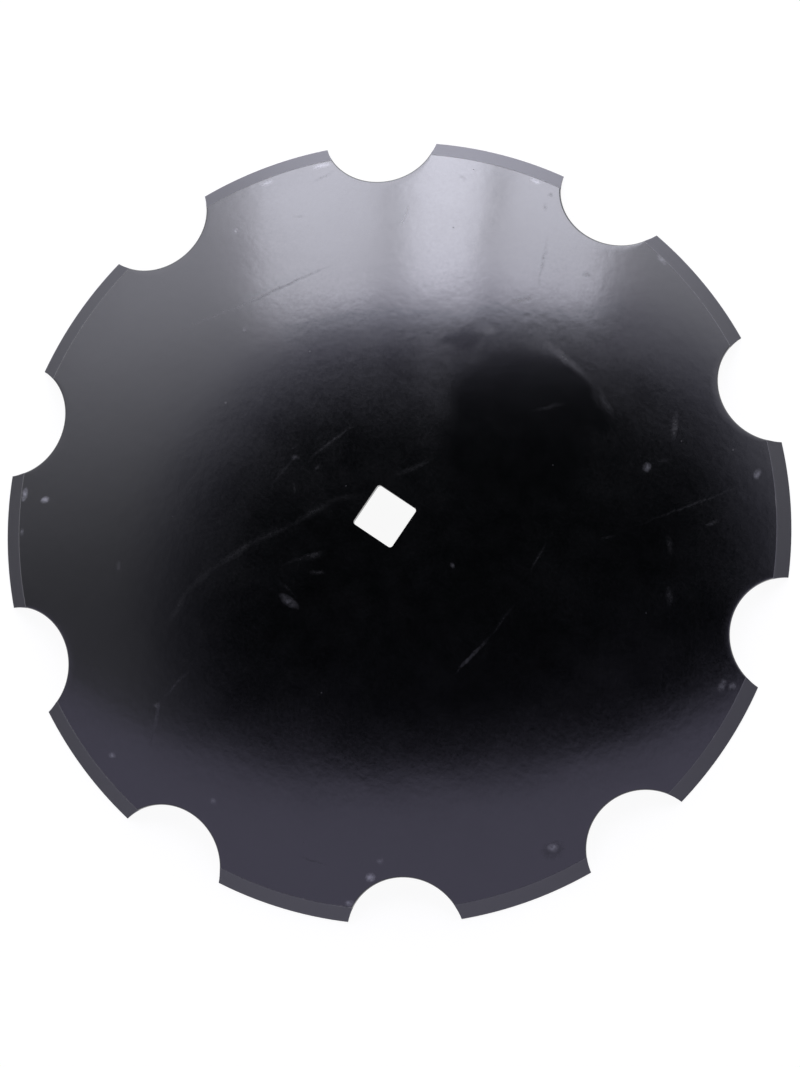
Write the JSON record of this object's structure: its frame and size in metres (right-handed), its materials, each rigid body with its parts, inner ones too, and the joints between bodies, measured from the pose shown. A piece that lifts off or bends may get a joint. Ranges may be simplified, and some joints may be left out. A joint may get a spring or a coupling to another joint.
{
  "type": "harrow disc blade",
  "caption": "Dished round steel blade of a disc harrow, with half-round notches round a bevelled cutting edge and a square axle hole at its centre, painted black.",
  "frame": {"origin": "centre of the cutting edge circle, in the plane of the cutting edge, on the axle line", "axes": "+Z along the axle line, out of the domed side; +Y through the middle of a notch; +X through the middle of the land between two notches; the flats of the square hole face X and Y"},
  "size_m": [0.61, 0.6038, 0.0628],
  "materials": {
    "blade_paint": "satin black lacquer on pressed steel, lightly scuffed"
  },
  "bodies": {
    "root": {"disc_blade": "blade_paint"}
  },
  "joints": []
}
